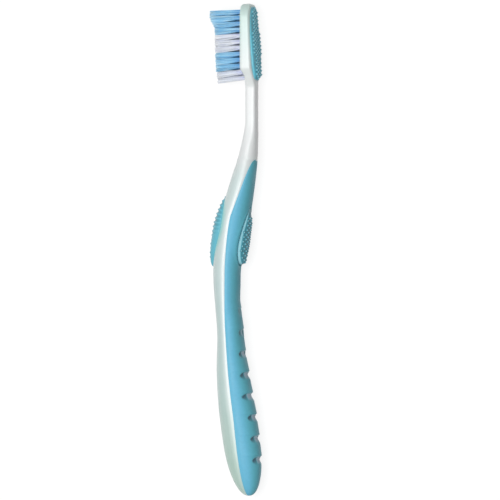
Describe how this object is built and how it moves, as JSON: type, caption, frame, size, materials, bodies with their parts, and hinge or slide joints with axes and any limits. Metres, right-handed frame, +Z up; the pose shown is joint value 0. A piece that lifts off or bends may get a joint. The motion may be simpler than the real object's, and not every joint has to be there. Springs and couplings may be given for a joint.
{
  "type": "manual toothbrush",
  "caption": "Adult manual toothbrush with a curved soft-grip handle, nubbed thumb and palm pads, tufted bristles with a raised toe, and a tongue cleaner on the back of the head.",
  "frame": {"origin": "centre of the bottom of the bounding box: the brush lies on its side and touches the ground at z = 0", "axes": "+X the way the bristles point, +Y along the brush from the head towards the tail, +Z up, out of the brush's flank"},
  "size_m": [0.0205, 0.19, 0.0135],
  "materials": {
    "body_plastic": "pearly gloss moulded polypropylene",
    "grip_rubber": "satin thermoplastic elastomer",
    "pad_rubber": "satin thermoplastic elastomer with moulded nubs",
    "bristle_blue": "blue nylon filament",
    "bristle_white": "white nylon filament with a lavender tint",
    "anchor_metal": "plain rolled strip"
  },
  "bodies": {
    "root": {"brush_body": "body_plastic", "tongue_cleaner": "pad_rubber", "back_grip": "grip_rubber", "palm_pad": "pad_rubber", "thumb_pad": "pad_rubber", "tuft_anchors": "anchor_metal", "tuft_row_01": "bristle_blue", "tuft_row_02": "bristle_blue", "tuft_row_03": "bristle_blue", "tuft_row_04": "bristle_blue", "tuft_row_05": "bristle_white", "tuft_row_06": "bristle_white", "tuft_row_07": "bristle_white", "tuft_row_08": "bristle_blue", "tuft_row_09": "bristle_blue", "tuft_row_10": "bristle_blue", "tuft_row_11": "bristle_white", "tuft_row_12": "bristle_white"}
  },
  "joints": []
}
